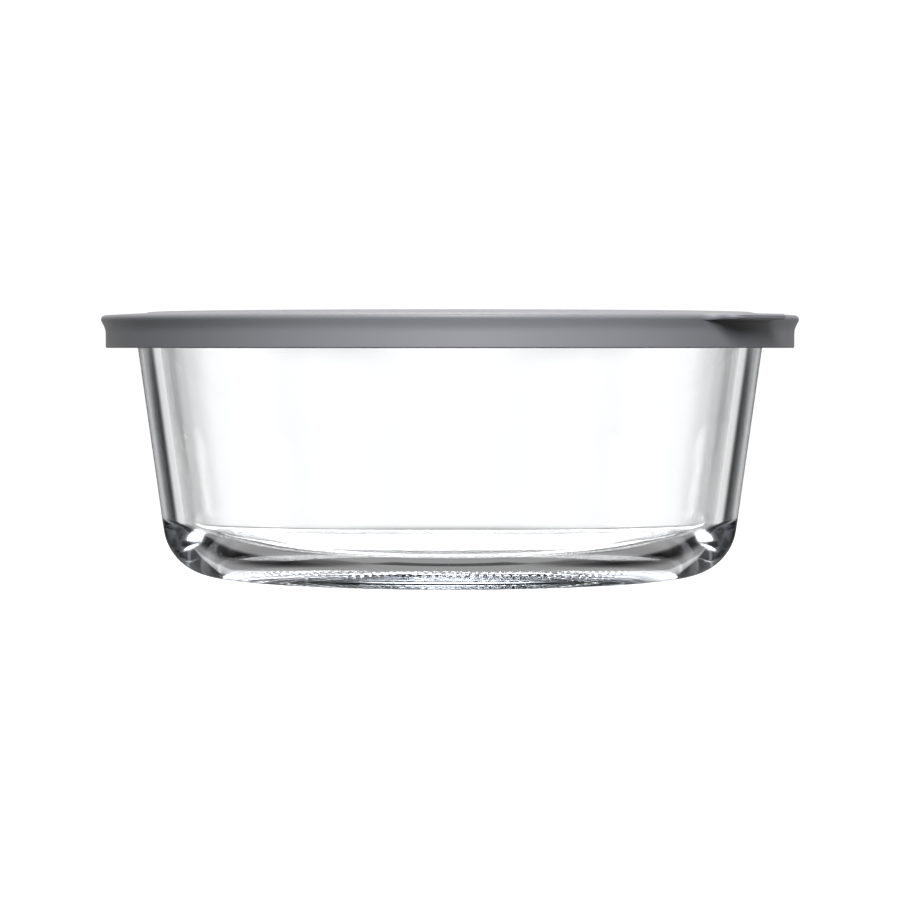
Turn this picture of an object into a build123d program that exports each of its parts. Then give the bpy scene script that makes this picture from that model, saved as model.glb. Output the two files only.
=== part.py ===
from build123d import *

import os
from math import asin, atan2, cos, degrees, radians, sqrt, tan

# Round glass storage container: a pressed glass bowl and its one-piece press-on plastic lid.
# Millimetres, +Z up. The origin is the centre of the foot, on the surface the bowl stands on.
# The lid's pull tab points between +X and -Y.

# Driving dimensions of the glass bowl
FOOT_CORNER_RADIUS = 80.5  # where the straight outer wall would meet the table
WALL_DRAFT = 7.9  # degrees that the wall leans outwards
WALL_THICKNESS = 6.2
OUTER_CORNER = 15.0  # rounding between the wall and the foot
INNER_CORNER = 11.7  # rounding between the wall and the inside floor
FLOOR_HEIGHT = 7.0  # inside floor above the table
FOOT_RING_INNER = 62.0  # the bowl rests on a flat ring from here out to the rounded corner
FOOT_DOME = 0.4  # how far the middle of the underside is domed up, clear of the table
COLLAR_RADIUS = 95.8  # the thick rim that the lid grips
COLLAR_UNDERSIDE = 67.2
COLLAR_BEVEL = 0.8  # rise of the collar's sloping underside
COLLAR_FILLET = 3.0
RIM_HEIGHT = 73.0
RIM_ROUNDING = 1.8

# Driving dimensions of the lid
LID_RADIUS = 100.0  # widest point of the bead round the lid's top edge
SKIRT_RADIUS = 98.7
SKIRT_EDGE = 65.0  # height of the skirt's lower edge
SKIRT_THICKNESS = 1.6
SNAP_BEAD = 0.8  # how far the bead inside the skirt's lower edge stands in
SNAP_BEAD_HEIGHT = 66.1
SNAP_LEAD_IN = 0.2  # step back at the skirt's very edge, which guides the rim in
NOSE_RADIUS = 1.2
NOSE_HEIGHT = 73.1
NOSE_TOP_ANGLE = 84.0  # where the bead's arc runs into the top, in degrees above level
FLARE_ANGLE = 27.0  # degrees off vertical, from the skirt out to the bead
FLARE_ROUNDING = 5.0
CROWN_HEIGHT = 74.9  # top of the lid just outside the raised plateau
CROWN_ROUNDING = 1.0
PLATEAU_RADIUS = 86.5
PLATEAU_STEP = 1.0  # width of the slope at the plateau's edge
PLATEAU_HEIGHT = 75.2
STACK_RADIUS = 72.0  # the shallow recess that the foot of another bowl stands in
STACK_STEP = 1.2  # width of the slope at the recess's edge
STACK_DEPTH = 0.8
PANEL_THICKNESS = 1.6
PANEL_ROUNDING = 0.8
RIM_GAP = 0.3  # between the top of the glass and the lid's underside
PLUG_RADIUS = 83.3  # outside of the sealing lip that hangs inside the mouth
PLUG_THICKNESS = 1.5
PLUG_EDGE = 69.2
LIP_ROUNDING = 0.6
EDGE_ROUNDING = 0.4

# Driving dimensions of the pull tab
TAB_DIRECTION = -38.0  # degrees from +X
TAB_REACH = 107.5  # tip of the tab from the lid's axis
TAB_WIDTH = 27.0
TAB_THICKNESS = 1.7
TAB_TOP = 74.3
TAB_TIP_ROUNDING = 4.5
TAB_ROOT_ROUNDING = 5.0
TAB_RIM_RADIUS = 99.0  # the tab's edge runs out into the rim at this radius
TAB_ROOT_RADIUS = 97.5  # inner end of the tab, inside the rim's material
TAB_EDGE_ROUNDING = 0.5

os.makedirs("parts", exist_ok=True)

wall_slope = tan(radians(WALL_DRAFT))
wall_offset = WALL_THICKNESS / cos(radians(WALL_DRAFT))


def outer_wall(height):
    """Radius of the straight outer wall at a height."""
    return FOOT_CORNER_RADIUS + wall_slope * height


def inner_wall(height):
    """Radius of the straight inner wall at a height."""
    return outer_wall(height) - wall_offset


# Glass bowl: one revolved section, with a thick base, a flat foot ring and an out-turned collar
with BuildPart() as glass_bowl:
    with BuildSketch(Plane.XZ) as bowl_section:
        foot_corner = (FOOT_CORNER_RADIUS, 0)
        collar_root = (outer_wall(COLLAR_UNDERSIDE), COLLAR_UNDERSIDE)
        collar_lower = (COLLAR_RADIUS, COLLAR_UNDERSIDE + COLLAR_BEVEL)
        collar_upper = (COLLAR_RADIUS, RIM_HEIGHT)
        mouth = (inner_wall(RIM_HEIGHT), RIM_HEIGHT)
        floor_corner = (inner_wall(FLOOR_HEIGHT), FLOOR_HEIGHT)
        dome_radius = (FOOT_RING_INNER**2 + FOOT_DOME**2) / (2 * FOOT_DOME)
        with BuildLine():
            dome = CenterArc(
                (0, FOOT_DOME - dome_radius),
                dome_radius,
                start_angle=90,
                arc_size=-degrees(asin(FOOT_RING_INNER / dome_radius)),
            )
            Polyline(
                dome @ 1,
                foot_corner,
                collar_root,
                collar_lower,
                collar_upper,
                mouth,
                floor_corner,
                (0, FLOOR_HEIGHT),
                dome @ 0,
            )
        make_face()
        corners = [
            (foot_corner, OUTER_CORNER),
            (floor_corner, INNER_CORNER),
            (collar_root, COLLAR_FILLET),
            (collar_lower, RIM_ROUNDING),
            (collar_upper, RIM_ROUNDING),
            (mouth, RIM_ROUNDING),
        ]
        for corner, radius in corners:
            fillet(bowl_section.vertices().sort_by_distance(corner)[0], radius)
    revolve(axis=Axis.Z)

glass_bowl.part.label = "glass_bowl"
export_step(glass_bowl.part, "parts/glass_bowl.step")

# Pull tab: a flat lip with rounded edges. Its outline is drawn along its own X axis, and half of it is
# the tip, a flank and the hollow blend into the rim.
blend_side = TAB_WIDTH / 2 + TAB_ROOT_ROUNDING
blend_along = sqrt((TAB_RIM_RADIUS + TAB_ROOT_ROUNDING) ** 2 - blend_side**2)
blend_angle = degrees(atan2(blend_side, blend_along))
with BuildPart() as pull_tab:
    with BuildSketch(Plane.XY.offset(TAB_TOP - TAB_THICKNESS).rotated((0, 0, TAB_DIRECTION))):
        with BuildLine():
            tip = Line((TAB_REACH, 0), (TAB_REACH, TAB_WIDTH / 2 - TAB_TIP_ROUNDING))
            tip_corner = JernArc(tip @ 1, tip % 1, TAB_TIP_ROUNDING, 90)
            Line(tip_corner @ 1, (blend_along, TAB_WIDTH / 2))
            blend = CenterArc((blend_along, blend_side), TAB_ROOT_ROUNDING, -90, blend_angle - 90)
            root = CenterArc((0, 0), TAB_ROOT_RADIUS, 0, blend_angle)
            Line(blend @ 1, root @ 1)
            mirror(about=Plane.XZ)
        make_face()
    extrude(amount=TAB_THICKNESS)
    fillet(pull_tab.edges().filter_by(Axis.Z, reverse=True), TAB_EDGE_ROUNDING)

# Lid: panel, stacking recess, rim bead, skirt, sealing lip and pull tab are one moulding
with BuildPart() as lid:
    with BuildSketch(Plane.XZ) as lid_section:
        skirt_inner = SKIRT_RADIUS - SKIRT_THICKNESS
        skirt_outer_edge = (SKIRT_RADIUS, SKIRT_EDGE)
        skirt_inner_edge = (skirt_inner + SNAP_LEAD_IN, SKIRT_EDGE)
        snap_bead = (skirt_inner - SNAP_BEAD, SNAP_BEAD_HEIGHT)
        groove_roof = RIM_HEIGHT + RIM_GAP
        groove_outer = (skirt_inner, groove_roof)
        groove_inner = (PLUG_RADIUS, groove_roof)
        lip_outer = (PLUG_RADIUS, PLUG_EDGE)
        lip_inner = (PLUG_RADIUS - PLUG_THICKNESS, PLUG_EDGE)
        lip_root = (PLUG_RADIUS - PLUG_THICKNESS, PLATEAU_HEIGHT - PANEL_THICKNESS)
        stack_floor = PLATEAU_HEIGHT - STACK_DEPTH
        stack_foot = (STACK_RADIUS - STACK_STEP / 2, stack_floor)
        stack_edge = (STACK_RADIUS + STACK_STEP / 2, PLATEAU_HEIGHT)
        plateau_edge = (PLATEAU_RADIUS, PLATEAU_HEIGHT)
        plateau_foot = (PLATEAU_RADIUS + PLATEAU_STEP, CROWN_HEIGHT)
        with BuildLine():
            nose = CenterArc(
                (LID_RADIUS - NOSE_RADIUS, NOSE_HEIGHT),
                NOSE_RADIUS,
                start_angle=-FLARE_ANGLE,
                arc_size=NOSE_TOP_ANGLE + FLARE_ANGLE,
            )
            flare_foot = (nose @ 0).Y - ((nose @ 0).X - SKIRT_RADIUS) / tan(radians(FLARE_ANGLE))
            skirt_corner = (SKIRT_RADIUS, flare_foot)
            Polyline(
                nose @ 0,
                skirt_corner,
                skirt_outer_edge,
                skirt_inner_edge,
                snap_bead,
                (skirt_inner, SNAP_BEAD_HEIGHT + SNAP_BEAD),
                groove_outer,
                groove_inner,
                lip_outer,
                lip_inner,
                lip_root,
                (stack_edge[0], PLATEAU_HEIGHT - PANEL_THICKNESS),
                (stack_foot[0], stack_floor - PANEL_THICKNESS),
                (0, stack_floor - PANEL_THICKNESS),
                (0, stack_floor),
                stack_foot,
                stack_edge,
                plateau_edge,
                plateau_foot,
                nose @ 1,
            )
        make_face()
        corners = [
            (skirt_corner, FLARE_ROUNDING),
            (skirt_outer_edge, EDGE_ROUNDING),
            (skirt_inner_edge, EDGE_ROUNDING),
            (snap_bead, EDGE_ROUNDING),
            (groove_outer, LIP_ROUNDING),
            (groove_inner, LIP_ROUNDING),
            (lip_outer, LIP_ROUNDING),
            (lip_inner, LIP_ROUNDING),
            (lip_root, PANEL_ROUNDING),
            (stack_foot, EDGE_ROUNDING),
            (stack_edge, EDGE_ROUNDING),
            (plateau_edge, LIP_ROUNDING),
            (plateau_foot, CROWN_ROUNDING),
        ]
        for corner, radius in corners:
            fillet(lid_section.vertices().sort_by_distance(corner)[0], radius)
    revolve(axis=Axis.Z)
    add(pull_tab.part)

lid.part.label = "lid"
export_step(lid.part, "parts/lid.step")
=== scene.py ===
import math

import bpy
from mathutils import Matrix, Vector


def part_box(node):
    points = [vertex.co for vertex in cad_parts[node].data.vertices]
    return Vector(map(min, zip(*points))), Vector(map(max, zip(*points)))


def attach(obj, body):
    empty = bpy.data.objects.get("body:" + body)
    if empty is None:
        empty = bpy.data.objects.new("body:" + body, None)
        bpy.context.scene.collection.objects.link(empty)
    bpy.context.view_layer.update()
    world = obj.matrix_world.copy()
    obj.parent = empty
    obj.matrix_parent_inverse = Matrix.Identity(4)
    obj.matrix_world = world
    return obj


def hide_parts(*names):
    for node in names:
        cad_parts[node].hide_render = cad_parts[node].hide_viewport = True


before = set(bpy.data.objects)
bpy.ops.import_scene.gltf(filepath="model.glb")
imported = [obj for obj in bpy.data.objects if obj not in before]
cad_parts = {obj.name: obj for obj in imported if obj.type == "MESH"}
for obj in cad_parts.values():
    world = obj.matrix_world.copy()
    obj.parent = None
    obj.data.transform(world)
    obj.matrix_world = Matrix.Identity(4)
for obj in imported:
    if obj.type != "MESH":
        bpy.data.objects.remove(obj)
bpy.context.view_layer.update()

MM = 0.001
TURN = 2 * math.pi

# ---------------------------------------------------------------- sizes, in millimetres, as in the CAD
bowl_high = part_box("glass_bowl")[1]
lid_low, lid_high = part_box("lid")

LID_RADIUS = lid_high[0] / MM
SKIRT_EDGE = lid_low[2] / MM
PLATEAU_HEIGHT = lid_high[2] / MM
COLLAR_RADIUS = bowl_high[0] / MM
RIM_HEIGHT = bowl_high[2] / MM

FOOT_CORNER_RADIUS = 80.5
WALL_DRAFT = math.radians(7.9)
WALL_THICKNESS = 6.2
WALL_SLOPE = math.tan(WALL_DRAFT)
WALL_OFFSET = WALL_THICKNESS / math.cos(WALL_DRAFT)
OUTER_CORNER = 15.0
INNER_CORNER = 11.7
FLOOR_HEIGHT = 7.0
FOOT_RING_INNER = 62.0
FOOT_DOME = 0.4
COLLAR_UNDERSIDE = 67.2
COLLAR_BEVEL = 0.8
COLLAR_FILLET = 3.0
RIM_ROUNDING = 1.8

SKIRT_RADIUS = 98.7
SKIRT_INNER = 97.1
SNAP_BEAD = 0.8
SNAP_BEAD_HEIGHT = 66.1
SNAP_LEAD_IN = 0.2
NOSE_RADIUS = 1.2
NOSE_HEIGHT = 73.1
NOSE_TOP_ANGLE = 87.0  # where the bead's arc runs into the top, in degrees above level
FLARE_ANGLE = math.radians(27.0)
FLARE_ROUNDING = 5.0
CROWN_HEIGHT = 74.9
CROWN_ROUNDING = 1.0
PLATEAU_RADIUS = 86.5
PLATEAU_STEP = 1.0
STACK_RADIUS = 72.0
STACK_STEP = 0.6
STACK_DEPTH = 0.8
PANEL_THICKNESS = 1.6
PANEL_ROUNDING = 0.8
LIP_ROUNDING = 0.6
EDGE_ROUNDING = 0.4
GROOVE_ROOF = 73.3
LIP_OUTER = 83.3
LIP_INNER = 81.8
LIP_EDGE = 69.2

TAB_DIRECTION = math.radians(-38.0)
TAB_REACH = 107.5
TAB_HALF_WIDTH = 13.5
TAB_TIP_ROUNDING = 4.5
TAB_ROOT_ROUNDING = 4.5
TAB_EDGE = 0.85
TAB_TOP = 74.3
TAB_INNER = 97.0  # the rim's top runs out into the tab from this radius

STIPPLE_INNER = 51.0  # the underside's ring of small dimples
STIPPLE_OUTER = 65.0
STIPPLE_DEPTH = 0.16
STIPPLE_PITCH = 2.2

SPOKES = 600  # mesh points round the bowl
FINE_ROWS = 0.5  # distance between the mesh rows that carry the dimples
WIDE_ROWS = 10.0
BEAD_POINTS = 26  # mesh points over the lid's bead
RIM_STEPS = 150  # mesh steps round each half of the lid
TIP_STEPS = 8
TIP_CORNER_STEPS = 14
BLEND_STEPS = 18
BEAD_ARC_STEPS = 16


# ---------------------------------------------------------------- mesh helpers
def add_object(name, data):
    """A new object in the scene."""
    thing = bpy.data.objects.new(name, data)
    bpy.context.scene.collection.objects.link(thing)
    return thing


def rounded(corners, arc_step=6.0):
    """A section line through corners (r, z, rounding), each turned into an arc. Gives (point, normal), with
    the normal on the left of the way the line runs."""
    line = []
    for i, (r, z, rounding) in enumerate(corners):
        here = Vector((r, z))
        before = Vector(corners[i - 1][:2]) if i else None
        after = Vector(corners[i + 1][:2]) if i + 1 < len(corners) else None
        into = (here - before).normalized() if before is not None else None
        out = (after - here).normalized() if after is not None else None
        if into is None or out is None:
            way = out or into
            line.append((here, Vector((-way.y, way.x))))
            continue
        turn = into.angle_signed(out)  # clockwise is positive in mathutils
        if rounding <= 0 or abs(turn) < 1e-4:
            line.append((here, Vector((-into.y, into.x))))
            line.append((here, Vector((-out.y, out.x))))
            continue
        start = here - into * rounding * math.tan(abs(turn) / 2)
        side = -1 if turn > 0 else 1
        centre = start + Vector((-into.y, into.x)) * rounding * side
        steps = max(3, math.ceil(math.degrees(abs(turn)) / arc_step))
        for k in range(steps + 1):
            a = -turn * k / steps
            n = Vector((-into.y, into.x))
            across = n.x * math.cos(a) - n.y * math.sin(a)
            up = n.x * math.sin(a) + n.y * math.cos(a)
            n = Vector((across, up))
            line.append((centre - n * rounding * side, n))
    return line


def spaced(line, longest):
    """The same line with its long straight stretches divided."""
    out = [line[0]]
    for (p, n), (q, m) in zip(line, line[1:]):
        parts = max(1, math.ceil((q - p).length / longest))
        for k in range(1, parts + 1):
            t = k / parts
            out.append((p.lerp(q, t), (n.lerp(m, t)).normalized() if n.dot(m) > -0.5 else m))
    return out


def mesh_piece(name, points, faces, normals):
    """A smooth object from points in millimetres, with the normals of the true surface."""
    mesh = bpy.data.meshes.new(name)
    mesh.from_pydata([Vector(p) * MM for p in points], [], faces)
    mesh.shade_smooth()
    mesh.validate()
    mesh.normals_split_custom_set_from_vertices([Vector(n).normalized() for n in normals])
    return add_object(name, mesh)


def revolve(name, line, relief=None):
    """A closed solid of revolution from a section line that starts and ends on the axis. The normals point
    out of the material when the line runs with the material on its right. relief(r, angle, z) lifts the
    surface and gives (lift, slope along r, slope along the angle)."""
    points, normals, rows = [], [], []
    for p, n in line:
        if p.x < 1e-6:
            rows.append([len(points)])
            points.append((0, 0, p.y))
            normals.append((0, 0, n.y))
            continue
        rows.append(list(range(len(points), len(points) + SPOKES)))
        for k in range(SPOKES):
            a = TURN * k / SPOKES
            lift, by_r, by_a = relief(p.x, a, p.y) if relief else (0, 0, 0)
            points.append((p.x * math.cos(a), p.x * math.sin(a), p.y + lift))
            out, side = n.x - n.y * by_r, -n.y * by_a
            east = out * math.cos(a) - side * math.sin(a)
            north = out * math.sin(a) + side * math.cos(a)
            normals.append((east, north, n.y))
    faces = []
    for low, high in zip(rows, rows[1:]):
        for k in range(SPOKES):
            m = (k + 1) % SPOKES
            if len(low) == 1:
                faces.append((low[0], high[k], high[m]))
            elif len(high) == 1:
                faces.append((low[k], high[0], low[m]))
            else:
                faces.append((low[k], high[k], high[m], low[m]))
    return mesh_piece(name, points, faces, normals)


# ---------------------------------------------------------------- glass bowl
def outer_wall(z):
    return FOOT_CORNER_RADIUS + WALL_SLOPE * z


def inner_wall(z):
    return outer_wall(z) - WALL_OFFSET


def steps_down(start, stop, longest):
    """Evenly spaced values below start, down to stop."""
    count = math.ceil((start - stop) / longest)
    return [start + (stop - start) * (k + 1) / count for k in range(count)]


def bowl_line():
    """The bowl's section, from the middle of the inside floor over the rim to the middle of the underside."""
    corners = [
        (0, FLOOR_HEIGHT, 0),
        (inner_wall(FLOOR_HEIGHT), FLOOR_HEIGHT, INNER_CORNER),
        (inner_wall(RIM_HEIGHT), RIM_HEIGHT, RIM_ROUNDING),
        (COLLAR_RADIUS, RIM_HEIGHT, RIM_ROUNDING),
        (COLLAR_RADIUS, COLLAR_UNDERSIDE + COLLAR_BEVEL, RIM_ROUNDING),
        (outer_wall(COLLAR_UNDERSIDE), COLLAR_UNDERSIDE, COLLAR_FILLET),
        (FOOT_CORNER_RADIUS, 0, OUTER_CORNER),
        (FOOT_RING_INNER, 0, 0),
    ]
    line = spaced(rounded(corners, 5.0), WIDE_ROWS)[:-1]
    ring_outer = line[-1][0].x
    line += [(Vector((r, 0)), Vector((0, -1))) for r in steps_down(ring_outer, FOOT_RING_INNER, FINE_ROWS)]
    dome_radius = (FOOT_RING_INNER**2 + FOOT_DOME**2) / (2 * FOOT_DOME)
    plain = STIPPLE_INNER - 1
    for r in steps_down(FOOT_RING_INNER, plain, FINE_ROWS) + steps_down(plain, 0, WIDE_ROWS):
        height = math.sqrt(dome_radius**2 - r**2)
        line.append((Vector((r, FOOT_DOME - dome_radius + height)), Vector((-r, -height)) / dome_radius))
    return line


def stipple_height(r, angle):
    """How deep the ring of dimples is pressed into the underside, in wavy rows that fade at both edges."""
    if not STIPPLE_INNER < r < STIPPLE_OUTER:
        return 0.0
    fade = min(1.0, (r - STIPPLE_INNER) / STIPPLE_PITCH, (STIPPLE_OUTER - r) / STIPPLE_PITCH)
    waves = 0.3 * math.sin(5 * angle) + 0.2 * math.sin(13 * angle + 1.0)
    row = (r - STIPPLE_INNER) / STIPPLE_PITCH + waves
    across = 0.5 - 0.5 * math.cos(TURN * row)
    count = round(TURN * 0.5 * (STIPPLE_INNER + STIPPLE_OUTER) / STIPPLE_PITCH)
    wander = 1.8 * math.sin(7 * angle + 2.1 * row) + 1.4 * math.sin(17 * angle + 3.3 * row)
    along = 0.5 - 0.5 * math.cos(count * angle + math.pi * math.floor(row) + wander)
    patchy = 0.6 + 0.4 * math.sin(3 * angle + 0.8) * math.sin(8 * angle)
    return STIPPLE_DEPTH * patchy * fade * across * along


def stipple(r, angle, z):
    """The dimples' lift of the underside and its slopes."""
    if z > FOOT_DOME:
        return 0.0, 0.0, 0.0
    here = stipple_height(r, angle)
    step = 0.02
    by_r = (stipple_height(r + step, angle) - stipple_height(r - step, angle)) / (2 * step)
    turn = step / max(r, 1.0)
    by_a = (stipple_height(r, angle + turn) - stipple_height(r, angle - turn)) / (2 * step)
    return here, by_r, by_a


bowl = revolve("bowl_glass", bowl_line(), stipple)


# ---------------------------------------------------------------- lid
def crown(r):
    """Height of the lid's top between the plateau and the rim bead."""
    run = LID_RADIUS - NOSE_RADIUS - PLATEAU_RADIUS - PLATEAU_STEP
    fall = (CROWN_HEIGHT - (NOSE_HEIGHT + NOSE_RADIUS)) / run
    return CROWN_HEIGHT - fall * (r - PLATEAU_RADIUS - PLATEAU_STEP)


def lid_underside():
    """The lid's section from the middle of the underside to the foot of the flare outside the skirt."""
    stack_roof = PLATEAU_HEIGHT - STACK_DEPTH - PANEL_THICKNESS
    panel_roof = PLATEAU_HEIGHT - PANEL_THICKNESS
    nose_start = LID_RADIUS - NOSE_RADIUS + NOSE_RADIUS * math.cos(FLARE_ANGLE)
    flare_top = NOSE_HEIGHT - NOSE_RADIUS * math.sin(FLARE_ANGLE)
    flare_foot = flare_top - (nose_start - SKIRT_RADIUS) / math.tan(FLARE_ANGLE)
    corners = [
        (0, stack_roof, 0),
        (STACK_RADIUS - STACK_STEP, stack_roof, LIP_ROUNDING),
        (STACK_RADIUS + STACK_STEP, panel_roof, LIP_ROUNDING),
        (LIP_INNER, panel_roof, PANEL_ROUNDING),
        (LIP_INNER, LIP_EDGE, LIP_ROUNDING),
        (LIP_OUTER, LIP_EDGE, LIP_ROUNDING),
        (LIP_OUTER, GROOVE_ROOF, LIP_ROUNDING),
        (SKIRT_INNER, GROOVE_ROOF, LIP_ROUNDING),
        (SKIRT_INNER, SNAP_BEAD_HEIGHT + SNAP_BEAD, 0.3),
        (SKIRT_INNER - SNAP_BEAD, SNAP_BEAD_HEIGHT, EDGE_ROUNDING),
        (SKIRT_INNER + SNAP_LEAD_IN, SKIRT_EDGE, EDGE_ROUNDING),
        (SKIRT_RADIUS, SKIRT_EDGE, EDGE_ROUNDING),
        (SKIRT_RADIUS, flare_foot, FLARE_ROUNDING),
        (nose_start, flare_top, 0),
    ]
    return [p for p, n in spaced(rounded(corners, 10.0), 8.0)]


def lid_top():
    """The lid's section from the rim's top, just inside the bead, to the middle of the stacking recess."""
    corners = [
        (TAB_INNER, crown(TAB_INNER), 0),
        (PLATEAU_RADIUS + PLATEAU_STEP, CROWN_HEIGHT, CROWN_ROUNDING),
        (PLATEAU_RADIUS, PLATEAU_HEIGHT, LIP_ROUNDING),
        (STACK_RADIUS + STACK_STEP, PLATEAU_HEIGHT, EDGE_ROUNDING),
        (STACK_RADIUS - STACK_STEP, PLATEAU_HEIGHT - STACK_DEPTH, EDGE_ROUNDING),
        (0, PLATEAU_HEIGHT - STACK_DEPTH, 0),
    ]
    return [p for p, n in spaced(rounded(corners, 10.0), 8.0)]


def arc_points(centre, radius, start, stop, steps):
    """Points and outward directions along an arc, in plan."""
    out = []
    for k in range(steps):
        a = start + (stop - start) * k / steps
        way = Vector((math.cos(a), math.sin(a)))
        out.append((Vector(centre) + way * radius, way))
    return out


def rim_outline():
    """The lid's outline in plan, once round from the middle of the tab, as (point, outward direction, share
    of tab). The tab points along +X: its tip, its rounded corners and the hollow blends into the rim."""
    far = LID_RADIUS + TAB_ROOT_ROUNDING
    blend_y = TAB_HALF_WIDTH + TAB_ROOT_ROUNDING
    blend = Vector((math.sqrt(far**2 - blend_y**2), blend_y))
    root = math.atan2(blend.y, blend.x)
    corner = (TAB_REACH - TAB_TIP_ROUNDING, TAB_HALF_WIDTH - TAB_TIP_ROUNDING)
    half = []
    for k in range(TIP_STEPS):
        half.append((Vector((TAB_REACH, corner[1] * (k + 0.5) / TIP_STEPS)), Vector((1, 0)), 1.0))
    for p, n in arc_points(corner, TAB_TIP_ROUNDING, 0, math.pi / 2, TIP_CORNER_STEPS):
        half.append((p, n, 1.0))
    half.append((Vector((corner[0], TAB_HALF_WIDTH)), Vector((0, 1)), 1.0))
    for k in range(BLEND_STEPS + 1):
        a = -math.pi / 2 + (root - math.pi / 2) * k / BLEND_STEPS
        way = Vector((math.cos(a), math.sin(a)))
        t = 1 - k / BLEND_STEPS
        half.append((blend + way * TAB_ROOT_ROUNDING, -way, t * t * (3 - 2 * t)))
    for k in range(1, RIM_STEPS + 1):
        a = root + (math.pi - root) * (k - 0.5 * k / RIM_STEPS) / RIM_STEPS
        way = Vector((math.cos(a), math.sin(a)))
        half.append((way * LID_RADIUS, way, 0.0))
    other = [(Vector((p.x, -p.y)), Vector((n.x, -n.y)), t) for p, n, t in reversed(half)]
    return half + other


def bead_points(point, outward, tab, anchor, flare, count):
    """Evenly spaced points over the bead or the tab's edge, from the top of the flare to the rim's top."""
    edge = NOSE_RADIUS + (TAB_EDGE - NOSE_RADIUS) * tab
    height = NOSE_HEIGHT + (TAB_TOP - TAB_EDGE - NOSE_HEIGHT) * tab
    start = -FLARE_ANGLE + (FLARE_ANGLE - math.pi / 2) * tab
    stop = math.radians(NOSE_TOP_ANGLE + (90 - NOSE_TOP_ANGLE) * tab)
    centre = point - outward * edge
    line = [flare]
    for k in range(BEAD_ARC_STEPS + 1):
        a = start + (stop - start) * k / BEAD_ARC_STEPS
        where = centre + outward * edge * math.cos(a)
        line.append(Vector((where.x, where.y, height + edge * math.sin(a))))
    line.append(anchor)
    run = [0.0]
    for p, q in zip(line, line[1:]):
        run.append(run[-1] + (q - p).length)
    out = []
    j = 0
    for k in range(1, count + 1):
        want = run[-1] * k / (count + 1)
        while run[j + 1] < want:
            j += 1
        t = (want - run[j]) / (run[j + 1] - run[j])
        out.append(line[j].lerp(line[j + 1], t))
    return out


def lid_mesh():
    """The whole lid as one closed skin of rings: underside, skirt, bead with the tab, and top."""
    outline = rim_outline()
    below, above = lid_underside(), lid_top()
    turn = (math.cos(TAB_DIRECTION), math.sin(TAB_DIRECTION))
    spokes = []
    for point, outward, tab in outline:
        foot = point - outward * (NOSE_RADIUS + (TAB_EDGE - NOSE_RADIUS) * tab)
        bearing = math.atan2(foot.y, foot.x)
        way = Vector((math.cos(bearing), math.sin(bearing), 0))
        flat = [way * p.x + Vector((0, 0, p.y)) for p in below]
        top = [way * p.x + Vector((0, 0, p.y)) for p in above]
        bead = bead_points(point, outward, tab, top[0], flat[-1], BEAD_POINTS)
        spoke = flat[1:] + bead + top[:-1]
        spokes.append([(x * turn[0] - y * turn[1], x * turn[1] + y * turn[0], z) for x, y, z in spoke])
    length, count = len(spokes[0]), len(spokes)
    points = [p for spoke in spokes for p in spoke]
    points += [(0, 0, below[0].y), (0, 0, above[-1].y)]
    faces = []
    for i in range(count):
        a, b = i * length, (i + 1) % count * length
        faces += [(a + k, b + k, b + k + 1, a + k + 1) for k in range(length - 1)]
        faces.append((len(points) - 2, b, a))
        faces.append((len(points) - 1, a + length - 1, b + length - 1))
    mesh = bpy.data.meshes.new("lid_moulding")
    mesh.from_pydata([Vector(p) * MM for p in points], [], faces)
    mesh.validate()
    mesh.shade_smooth()
    mesh.set_sharp_from_angle(angle=math.radians(40))
    return add_object("lid_moulding", mesh)


lid = lid_mesh()


# ---------------------------------------------------------------- materials
def new_material(name):
    material = bpy.data.materials.new(name)
    material.use_nodes = True
    nodes = material.node_tree.nodes
    return material, nodes, material.node_tree.links, nodes["Principled BSDF"]


def glass_material():
    material, nodes, links, shader = new_material("clear_glass")
    shader.inputs["Base Color"].default_value = (1, 1, 1, 1)
    shader.inputs["Transmission Weight"].default_value = 1.0
    shader.inputs["Roughness"].default_value = 0.0
    shader.inputs["IOR"].default_value = 1.5
    absorb = nodes.new("ShaderNodeVolumeAbsorption")
    absorb.inputs["Color"].default_value = (0.785, 0.808, 0.84, 1)
    absorb.inputs["Density"].default_value = 18.0
    links.new(absorb.outputs[0], nodes["Material Output"].inputs["Volume"])
    return material


def noise(nodes, links, where, scale, detail):
    """Soft cloudy values round 0.5, in the piece's own coordinates."""
    cloud = nodes.new("ShaderNodeTexNoise")
    cloud.inputs["Scale"].default_value = scale
    cloud.inputs["Detail"].default_value = detail
    links.new(where.outputs["Object"], cloud.inputs["Vector"])
    return cloud.outputs["Fac"]


def spread(nodes, links, value, low, high):
    """The cloudy value stretched to run from low to high."""
    stretch = nodes.new("ShaderNodeMapRange")
    stretch.inputs["From Min"].default_value = 0.3
    stretch.inputs["From Max"].default_value = 0.7
    stretch.inputs["To Min"].default_value = low
    stretch.inputs["To Max"].default_value = high
    links.new(value, stretch.inputs["Value"])
    return stretch.outputs["Result"]


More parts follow.
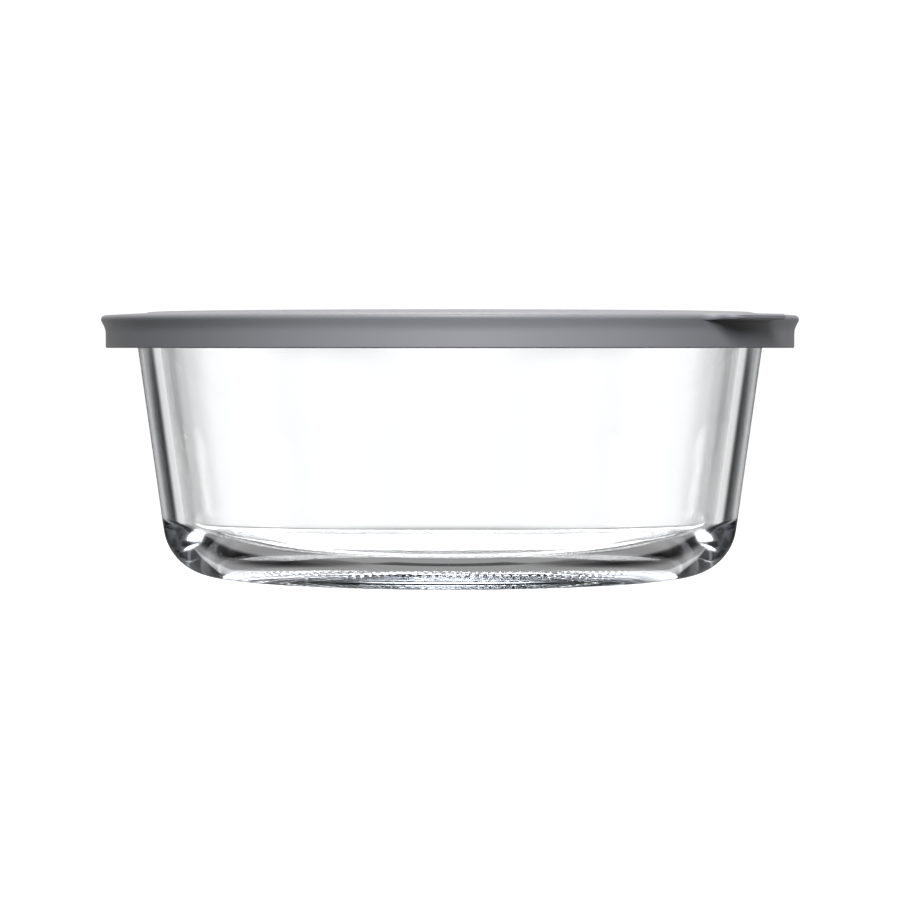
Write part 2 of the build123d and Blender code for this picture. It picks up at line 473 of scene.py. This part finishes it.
def plastic_material():
    material, nodes, links, shader = new_material("lid_plastic")
    where = nodes.new("ShaderNodeTexCoord")
    tone = noise(nodes, links, where, 24.0, 3.0)
    ramp = nodes.new("ShaderNodeValToRGB")
    ramp.color_ramp.elements[0].position = 0.3
    ramp.color_ramp.elements[0].color = (0.241, 0.245, 0.266, 1)
    ramp.color_ramp.elements[1].position = 0.7
    ramp.color_ramp.elements[1].color = (0.249, 0.253, 0.275, 1)
    links.new(tone, ramp.inputs["Fac"])
    links.new(ramp.outputs["Color"], shader.inputs["Base Color"])
    worn = noise(nodes, links, where, 160.0, 4.0)
    links.new(spread(nodes, links, worn, 0.44, 0.49), shader.inputs["Roughness"])
    shader.inputs["Specular IOR Level"].default_value = 0.4
    grain = noise(nodes, links, where, 2600.0, 2.0)
    bump = nodes.new("ShaderNodeBump")
    bump.inputs["Strength"].default_value = 0.35
    bump.inputs["Distance"].default_value = 0.00004
    links.new(grain, bump.inputs["Height"])
    links.new(bump.outputs["Normal"], shader.inputs["Normal"])
    return material


bowl.data.materials.append(glass_material())
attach(bowl, "bowl")
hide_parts("glass_bowl")
bowl.visible_shadow = False

lid.data.materials.append(plastic_material())
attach(lid, "lid")
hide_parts("lid")


# ---------------------------------------------------------------- studio
def smooth_band(nodes, links, value, low, high):
    """0 below low, 1 above high, smooth between."""
    band = nodes.new("ShaderNodeMapRange")
    band.interpolation_type = "SMOOTHSTEP"
    band.inputs["From Min"].default_value = low
    band.inputs["From Max"].default_value = high
    links.new(value, band.inputs["Value"])
    return band.outputs["Result"]


def maths(nodes, links, kind, *values):
    node = nodes.new("ShaderNodeMath")
    node.operation = kind
    for socket, value in zip(node.inputs, values):
        if isinstance(value, (int, float)):
            socket.default_value = value
        else:
            links.new(value, socket)
    return node.outputs[0]


def band(nodes, links, value, rise, fall):
    """1 between the rise and the fall, 0 outside them."""
    up = smooth_band(nodes, links, value, *rise)
    down = smooth_band(nodes, links, value, *fall)
    return maths(nodes, links, "SUBTRACT", up, down)


def patch(nodes, links, folded, across, level, along):
    """1 inside a soft-edged rectangle of the tent, 0 outside it."""
    columns = band(nodes, links, folded, *across)
    rows = band(nodes, links, level, *along)
    return maths(nodes, links, "MULTIPLY", columns, rows)


def chosen(nodes, links, factor, low, high):
    """A mix from low to high. Either may be a number or a socket."""
    mix = nodes.new("ShaderNodeMix")
    links.new(factor, mix.inputs[0])
    for socket, value in zip((mix.inputs[2], mix.inputs[3]), (low, high)):
        if isinstance(value, (int, float)):
            socket.default_value = value
        else:
            links.new(value, socket)
    return mix.outputs[0]


# The light tent's cards, in degrees: where each begins and ends across and in height, with its soft edges,
# and the share of the light that it takes away. The pattern across is mirrored every 45 degrees.
TENT_LIGHT = 1.22
EVERYWHERE = ((-2, -1), (90, 91))
BELOW = (-92, -91)
ABOVE = (90, 91)
TENT_CARDS = [
    (((10.5, 13), ABOVE), ((-65, -35), ABOVE), 0.1),  # each window is brightest in its middle
    (((13.5, 19.5), (30, 36)), ((-65, -35), ABOVE), 0.66),
    (((17, 23), (29, 35)), ((-65, -35), (-3.8, -2.0)), 0.97),  # dark flags at both sides of it
    (((21, 27), (90, 91)), ((-1.5, 0), ABOVE), 0.75),
    (((9, 13), (21, 27)), ((5, 8), ABOVE), 0.75),
    (((1, 3), (14, 18)), ((-0.5, 1.0), (4.5, 8)), 0.85),
    (EVERYWHERE, (BELOW, (-38, -12)), 0.3),  # the table
    (((-2, -1), (18, 24)), ((-67, -64), (-59, -56)), 0.75),  # the table's dark edge
    (((18, 24), (36, 40)), ((-60, -57), (-53, -50)), 0.35),
    (((-2, -1), (7, 10)), ((5, 9), ABOVE), -7.0),  # the softbox overhead
]
HORIZON = (-16, -13)  # the table is below it, and is dim for light that has met few surfaces of the glass
TABLE_EDGE = (-30, -24)
TABLE_EDGE_DIM = 0.42
TABLE_DIM = 0.42
TABLE_BRIGHT = 1.2
TABLE_CORNERS = (((8, 11), (20, 24)), ((-24, -20), (-11, -8)), 0.75)  # dark, beyond many surfaces
FEWEST_SURFACES = (4.2, 4.8)
FEW_SURFACES = (5.2, 5.8)
TRAPPED = (7.6, 8.6)  # light that has met so many surfaces has gone round inside the glass and is dimmer
TRAPPED_SHARE = 0.3
OVERHEAD = (5, 9)
AMBIENT = 0.2  # what lights a surface that isn't glass
MIRRORED_SHARE = 0.07  # how bright the tent is when it is mirrored in the glass
SHEEN_AREA = (0.1, 0.8)  # the white area behind, mirrored in the satin plastic
SHEEN_LIGHT = 0.7
BACKDROP = 1.05

LAMP_AIM = (0, 0, 0.07)
KEY_LAMP = (4, 27, 0.62)  # azimuth, height and distance
SIDE_LAMP = (125, 24, 1.2)
TOP_LAMP = (0, 0.05, 1.3)

FLOOR_RADIUS = 0.30
FLOOR_CORNERS = 96
FLOOR_GREY = 0.3
FLOOR_GLOW = 0.9

CAMERA_DISTANCE = 0.985
CAMERA_PITCH = math.radians(1.71)
CAMERA_LENS = 136.7


def studio_world():
    """A white light tent. Every 90 degrees round it a white window stands between two dark strips, which
    only refracted and reflected rays see: they draw the edges of the glass."""
    world = bpy.data.worlds.new("tent")
    bpy.context.scene.world = world
    world.use_nodes = True
    nodes, links = world.node_tree.nodes, world.node_tree.links
    back = nodes["Background"]
    back.inputs["Color"].default_value = (1, 1, 1, 1)
    where = nodes.new("ShaderNodeTexCoord")
    parts = nodes.new("ShaderNodeSeparateXYZ")
    links.new(where.outputs["Generated"], parts.inputs[0])
    azimuth = maths(nodes, links, "ARCTAN2", parts.outputs["X"], parts.outputs["Y"])
    folded = maths(nodes, links, "PINGPONG", maths(nodes, links, "DEGREES", azimuth), 45.0)
    level = maths(nodes, links, "DEGREES", maths(nodes, links, "ARCSINE", parts.outputs["Z"]))
    light = TENT_LIGHT
    for across, along, taken in TENT_CARDS:
        card = patch(nodes, links, folded, across, level, along)
        left = maths(nodes, links, "MULTIPLY_ADD", card, -taken, 1.0)
        light = maths(nodes, links, "MULTIPLY", light, left)
    ray = nodes.new("ShaderNodeLightPath")
    many = smooth_band(nodes, links, ray.outputs["Ray Depth"], *FEW_SURFACES)
    above = smooth_band(nodes, links, level, *HORIZON)
    across, along, taken = TABLE_CORNERS
    corner = patch(nodes, links, folded, across, level, along)
    bright = chosen(nodes, links, corner, TABLE_BRIGHT, 1.0 - taken)
    fewest = smooth_band(nodes, links, ray.outputs["Ray Depth"], *FEWEST_SURFACES)
    edge = chosen(nodes, links, smooth_band(nodes, links, level, *TABLE_EDGE), 1.0, TABLE_EDGE_DIM)
    table = chosen(nodes, links, many, chosen(nodes, links, fewest, TABLE_DIM, edge), bright)
    light = maths(nodes, links, "MULTIPLY", light, chosen(nodes, links, above, table, 1.0))
    round_inside = smooth_band(nodes, links, ray.outputs["Ray Depth"], *TRAPPED)
    overhead = smooth_band(nodes, links, level, *OVERHEAD)
    trapped = maths(nodes, links, "SUBTRACT", round_inside, overhead)
    trapped = maths(nodes, links, "MAXIMUM", trapped, 0.0)
    light = maths(nodes, links, "MULTIPLY", light, chosen(nodes, links, trapped, 1.0, TRAPPED_SHARE))
    dimmed = maths(nodes, links, "MULTIPLY", light, MIRRORED_SHARE)
    behind = smooth_band(nodes, links, parts.outputs["Y"], *SHEEN_AREA)
    sheen = maths(nodes, links, "MULTIPLY", behind, SHEEN_LIGHT)
    dimmed = chosen(nodes, links, ray.outputs["Is Singular Ray"], sheen, dimmed)
    light = chosen(nodes, links, ray.outputs["Is Transmission Ray"], AMBIENT, light)
    light = chosen(nodes, links, ray.outputs["Is Reflection Ray"], light, dimmed)
    light = chosen(nodes, links, ray.outputs["Is Camera Ray"], light, BACKDROP)
    links.new(light, back.inputs["Strength"])


def lamp_place(azimuth, height, distance):
    """A place round the bowl: azimuth 0 is in front, and positive is towards +X."""
    a, h = math.radians(azimuth), math.radians(height)
    flat = distance * math.cos(h)
    return (flat * math.sin(a), -flat * math.cos(a), distance * math.sin(h))


def area_light(name, place, size, power):
    """A square lamp that shines at the container and isn't seen through the glass."""
    data = bpy.data.lights.new(name, "AREA")
    data.shape = "RECTANGLE"
    data.size = size
    data.size_y = size
    data.energy = power
    light = add_object(name, data)
    light.location = place
    light.rotation_euler = (Vector(LAMP_AIM) - Vector(place)).to_track_quat("-Z", "Y").to_euler()
    light.visible_transmission = False
    return light


def studio_floor():
    """A pale disc that only the camera sees."""
    mesh = bpy.data.meshes.new("floor")
    bearings = [TURN * k / FLOOR_CORNERS for k in range(FLOOR_CORNERS)]
    ring = [(FLOOR_RADIUS * math.cos(a), FLOOR_RADIUS * math.sin(a), 0) for a in bearings]
    mesh.from_pydata(ring, [], [tuple(range(FLOOR_CORNERS))])
    floor = add_object("floor", mesh)
    floor.visible_transmission = False
    floor.visible_glossy = False
    floor.visible_diffuse = False
    floor.visible_shadow = False
    material, nodes, links, shader = new_material("floor_white")
    shader.inputs["Base Color"].default_value = (FLOOR_GREY, FLOOR_GREY, FLOOR_GREY, 1)
    shader.inputs["Roughness"].default_value = 0.9
    shader.inputs["Specular IOR Level"].default_value = 0.1
    shader.inputs["Emission Color"].default_value = (1, 1, 1, 1)
    shader.inputs["Emission Strength"].default_value = FLOOR_GLOW
    mesh.materials.append(material)


studio_world()
studio_floor()
area_light("key", lamp_place(*KEY_LAMP), 0.22, 3.65)
azimuth, height, distance = SIDE_LAMP
for name, side in (("side_left", -azimuth), ("side_right", azimuth)):
    area_light(name, lamp_place(side, height, distance), 0.4, 2.0).visible_glossy = False
area_light("top", TOP_LAMP, 0.8, 18.0).data.color = (1.0, 0.96, 0.92)


# ---------------------------------------------------------------- camera
camera_data = bpy.data.cameras.new("camera")
camera = add_object("camera", camera_data)
bpy.context.scene.camera = camera
camera_data.sensor_width = 36.0
camera_data.lens = CAMERA_LENS
camera_data.clip_end = 20
camera.location = (0, -CAMERA_DISTANCE, SKIRT_EDGE * MM)
camera.rotation_euler = (math.pi / 2 - CAMERA_PITCH, 0, 0)

scene = bpy.context.scene
scene.view_settings.view_transform = "Standard"
scene.cycles.max_bounces = 24
scene.cycles.transmission_bounces = 24
scene.cycles.glossy_bounces = 16
